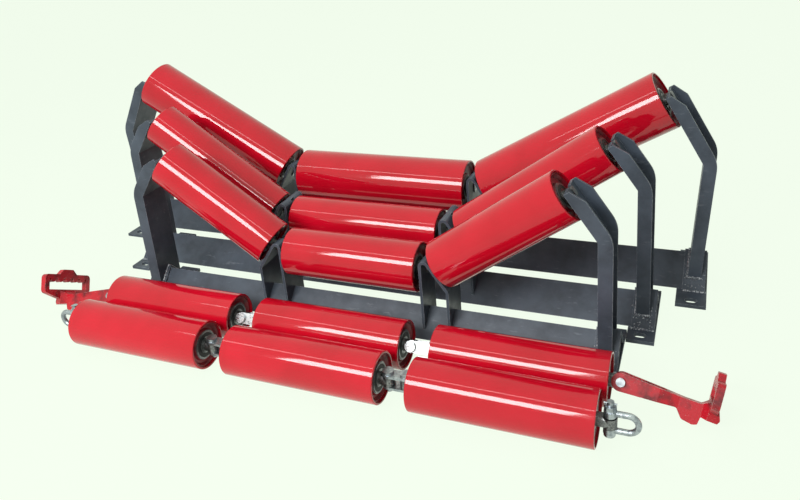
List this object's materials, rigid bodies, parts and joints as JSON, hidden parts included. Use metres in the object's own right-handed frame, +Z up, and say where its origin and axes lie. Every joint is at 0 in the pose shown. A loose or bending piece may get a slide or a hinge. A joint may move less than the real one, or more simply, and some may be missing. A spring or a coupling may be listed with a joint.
{
  "type": "troughing idler set",
  "caption": "Troughing idler stations with angled wing rollers in bent channel frames, and idler strings whose rollers are joined by pinned links and end in shackles or toothed hangers.",
  "frame": {"origin": "centre of the front station's four foot slots, on the floor", "axes": "+X along the beams, +Y from the strings towards the rear station, +Z up"},
  "size_m": [1.638, 0.787, 0.4924],
  "materials": {
    "frame_paint": "semi-gloss slate grey paint on welded steel",
    "roller_paint": "glossy red enamel on steel tube",
    "housing_paint": "dark maroon paint on pressed sheet steel",
    "steel": "machined and galvanised steel",
    "zinc": "bright zinc plating",
    "cast_paint": "red primer on rough casting"
  },
  "bodies": {
    "frames": {"front_beam": "frame_paint", "front_foot_plates": "frame_paint", "front_side_posts": "frame_paint", "front_inner_brackets": "frame_paint", "front_axles": "steel", "middle_beam": "frame_paint", "middle_foot_plates": "frame_paint", "middle_side_posts": "frame_paint", "middle_inner_brackets": "frame_paint", "middle_axles": "steel", "rear_beam": "frame_paint", "rear_foot_plates": "frame_paint", "rear_side_posts": "frame_paint", "rear_inner_brackets": "frame_paint", "rear_axles": "steel", "shackle_string_centre_axle": "steel", "hook_string_centre_axle": "steel"},
    "front_left_roller": {"front_left_tube": "roller_paint", "front_left_ends": "housing_paint"},
    "front_centre_roller": {"front_centre_tube": "roller_paint", "front_centre_ends": "housing_paint"},
    "front_right_roller": {"front_right_tube": "roller_paint", "front_right_ends": "housing_paint"},
    "middle_left_roller": {"middle_left_tube": "roller_paint", "middle_left_ends": "housing_paint"},
    "middle_centre_roller": {"middle_centre_tube": "roller_paint", "middle_centre_ends": "housing_paint"},
    "middle_right_roller": {"middle_right_tube": "roller_paint", "middle_right_ends": "housing_paint"},
    "rear_left_roller": {"rear_left_tube": "roller_paint", "rear_left_ends": "housing_paint"},
    "rear_centre_roller": {"rear_centre_tube": "roller_paint", "rear_centre_ends": "housing_paint"},
    "rear_right_roller": {"rear_right_tube": "roller_paint", "rear_right_ends": "housing_paint"},
    "shackle_string_centre_roller": {"shackle_string_centre_tube": "roller_paint", "shackle_string_centre_ends": "housing_paint"},
    "shackle_string_left_link": {"shackle_string_left_link": "zinc"},
    "shackle_string_left_axle": {"shackle_string_left_axle": "steel"},
    "shackle_string_left_roller": {"shackle_string_left_tube": "roller_paint", "shackle_string_left_ends": "housing_paint"},
    "left_shackle": {"left_shackle": "steel"},
    "shackle_string_right_link": {"shackle_string_right_link": "zinc"},
    "shackle_string_right_axle": {"shackle_string_right_axle": "steel"},
    "shackle_string_right_roller": {"shackle_string_right_tube": "roller_paint", "shackle_string_right_ends": "housing_paint"},
    "right_shackle": {"right_shackle": "steel"},
    "hook_string_centre_roller": {"hook_string_centre_tube": "roller_paint", "hook_string_centre_ends": "housing_paint"},
    "hook_string_left_link": {"hook_string_left_link": "zinc"},
    "hook_string_left_axle": {"hook_string_left_axle": "steel"},
    "hook_string_left_roller": {"hook_string_left_tube": "roller_paint", "hook_string_left_ends": "housing_paint"},
    "left_hook": {"left_hook": "cast_paint"},
    "hook_string_right_link": {"hook_string_right_link": "zinc"},
    "hook_string_right_axle": {"hook_string_right_axle": "steel"},
    "hook_string_right_roller": {"hook_string_right_tube": "roller_paint", "hook_string_right_ends": "housing_paint"},
    "right_hook": {"right_hook": "cast_paint"}
  },
  "joints": [
    {"name": "front_left_spin", "type": "hinge", "parent": "frames", "child": "front_left_roller", "pos_m": [-0.33602, 0, 0.25934], "axis": [0.8192, 0, -0.5736], "continuous": true},
    {"name": "front_centre_spin", "type": "hinge", "parent": "frames", "child": "front_centre_roller", "pos_m": [0, 0, 0.154], "axis": [1, 0, 0], "continuous": true},
    {"name": "front_right_spin", "type": "hinge", "parent": "frames", "child": "front_right_roller", "pos_m": [0.33602, 0, 0.25934], "axis": [0.8192, 0, 0.5736], "continuous": true},
    {"name": "middle_left_spin", "type": "hinge", "parent": "frames", "child": "middle_left_roller", "pos_m": [-0.45234, 0.166, 0.27698], "axis": [0.8192, 0, -0.5736], "continuous": true},
    {"name": "middle_centre_spin", "type": "hinge", "parent": "frames", "child": "middle_centre_roller", "pos_m": [-0.043, 0.166, 0.156], "axis": [1, 0, 0], "continuous": true},
    {"name": "middle_right_spin", "type": "hinge", "parent": "frames", "child": "middle_right_roller", "pos_m": [0.36634, 0.166, 0.27698], "axis": [0.8192, 0, 0.5736], "continuous": true},
    {"name": "rear_left_spin", "type": "hinge", "parent": "frames", "child": "rear_left_roller", "pos_m": [-0.56365, 0.356, 0.31925], "axis": [0.866, 0, -0.5], "continuous": true},
    {"name": "rear_centre_spin", "type": "hinge", "parent": "frames", "child": "rear_centre_roller", "pos_m": [-0.075, 0.356, 0.192], "axis": [1, 0, 0], "continuous": true},
    {"name": "rear_right_spin", "type": "hinge", "parent": "frames", "child": "rear_right_roller", "pos_m": [0.41365, 0.356, 0.31925], "axis": [0.866, 0, 0.5], "continuous": true},
    {"name": "shackle_string_centre_spin", "type": "hinge", "parent": "frames", "child": "shackle_string_centre_roller", "pos_m": [-0.004, -0.25, 0.051], "axis": [1, 0, 0], "continuous": true},
    {"name": "shackle_string_left_link_swing", "type": "hinge", "parent": "frames", "child": "shackle_string_left_link", "pos_m": [-0.186, -0.25, 0.051], "axis": [0, 0, 1], "range_deg": [0, 22]},
    {"name": "shackle_string_left_axle_swing", "type": "hinge", "parent": "shackle_string_left_link", "child": "shackle_string_left_axle", "pos_m": [-0.222, -0.25, 0.051], "axis": [0, 0, 1], "range_deg": [0, 22]},
    {"name": "shackle_string_left_spin", "type": "hinge", "parent": "shackle_string_left_axle", "child": "shackle_string_left_roller", "pos_m": [-0.404, -0.25, 0.051], "axis": [1, 0, 0], "continuous": true},
    {"name": "left_shackle_swing", "type": "hinge", "parent": "shackle_string_left_axle", "child": "left_shackle", "pos_m": [-0.591, -0.25, 0.051], "axis": [0, 0, 1], "range_deg": [-80, 80]},
    {"name": "shackle_string_right_link_swing", "type": "hinge", "parent": "frames", "child": "shackle_string_right_link", "pos_m": [0.178, -0.25, 0.051], "axis": [0, 0, -1], "range_deg": [0, 22]},
    {"name": "shackle_string_right_axle_swing", "type": "hinge", "parent": "shackle_string_right_link", "child": "shackle_string_right_axle", "pos_m": [0.214, -0.25, 0.051], "axis": [0, 0, -1], "range_deg": [0, 22]},
    {"name": "shackle_string_right_spin", "type": "hinge", "parent": "shackle_string_right_axle", "child": "shackle_string_right_roller", "pos_m": [0.396, -0.25, 0.051], "axis": [1, 0, 0], "continuous": true},
    {"name": "right_shackle_swing", "type": "hinge", "parent": "shackle_string_right_axle", "child": "right_shackle", "pos_m": [0.583, -0.25, 0.051], "axis": [0, 0, -1], "range_deg": [-80, 80]},
    {"name": "hook_string_centre_spin", "type": "hinge", "parent": "frames", "child": "hook_string_centre_roller", "pos_m": [0.002, -0.138, 0.051], "axis": [1, 0, 0], "continuous": true},
    {"name": "hook_string_left_link_swing", "type": "hinge", "parent": "frames", "child": "hook_string_left_link", "pos_m": [-0.18, -0.138, 0.051], "axis": [0, 0.8572, -0.515], "range_deg": [0, 7]},
    {"name": "hook_string_left_axle_swing", "type": "hinge", "parent": "hook_string_left_link", "child": "hook_string_left_axle", "pos_m": [-0.216, -0.138, 0.051], "axis": [0, 0.8572, -0.515], "range_deg": [0, 7]},
    {"name": "hook_string_left_spin", "type": "hinge", "parent": "hook_string_left_axle", "child": "hook_string_left_roller", "pos_m": [-0.398, -0.138, 0.051], "axis": [1, 0, 0], "continuous": true},
    {"name": "left_hook_swing", "type": "hinge", "parent": "hook_string_left_axle", "child": "left_hook", "pos_m": [-0.585, -0.138, 0.051], "axis": [0, 0.8572, -0.515], "range_deg": [0, 45]},
    {"name": "hook_string_right_link_swing", "type": "hinge", "parent": "frames", "child": "hook_string_right_link", "pos_m": [0.184, -0.138, 0.051], "axis": [0, -0.8572, 0.515], "range_deg": [0, 7]},
    {"name": "hook_string_right_axle_swing", "type": "hinge", "parent": "hook_string_right_link", "child": "hook_string_right_axle", "pos_m": [0.22, -0.138, 0.051], "axis": [0, -0.8572, 0.515], "range_deg": [0, 7]},
    {"name": "hook_string_right_spin", "type": "hinge", "parent": "hook_string_right_axle", "child": "hook_string_right_roller", "pos_m": [0.402, -0.138, 0.051], "axis": [1, 0, 0], "continuous": true},
    {"name": "right_hook_swing", "type": "hinge", "parent": "hook_string_right_axle", "child": "right_hook", "pos_m": [0.589, -0.138, 0.051], "axis": [0, -0.8572, 0.515], "range_deg": [0, 45]}
  ]
}
